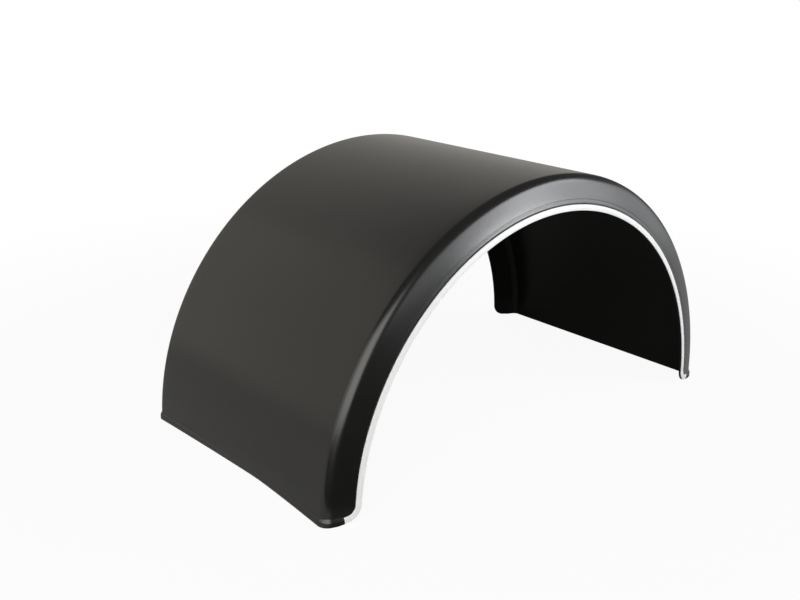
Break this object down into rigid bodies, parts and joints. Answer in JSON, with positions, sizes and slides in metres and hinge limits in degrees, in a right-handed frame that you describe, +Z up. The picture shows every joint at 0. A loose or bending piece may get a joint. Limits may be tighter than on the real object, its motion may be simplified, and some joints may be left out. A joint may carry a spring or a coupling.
{
  "type": "mudguard",
  "caption": "Half-round mudguard with a flange down each side, raised ribs round its cut ends and a white strip along the edge of its outer side.",
  "frame": {"origin": "bottom centre of the whole part, on the ground that its cut ends stand on", "axes": "+X along the span from leg to leg, +Y across the width towards the vehicle, +Z up; the side with the white strip faces -Y"},
  "size_m": [1.217, 0.66, 0.6009],
  "materials": {
    "black_plastic": "moulded black polyethylene, satin",
    "white_strip": "smooth white plastic"
  },
  "bodies": {
    "root": {"guard_shell": "black_plastic", "edge_strip": "white_strip"}
  },
  "joints": []
}
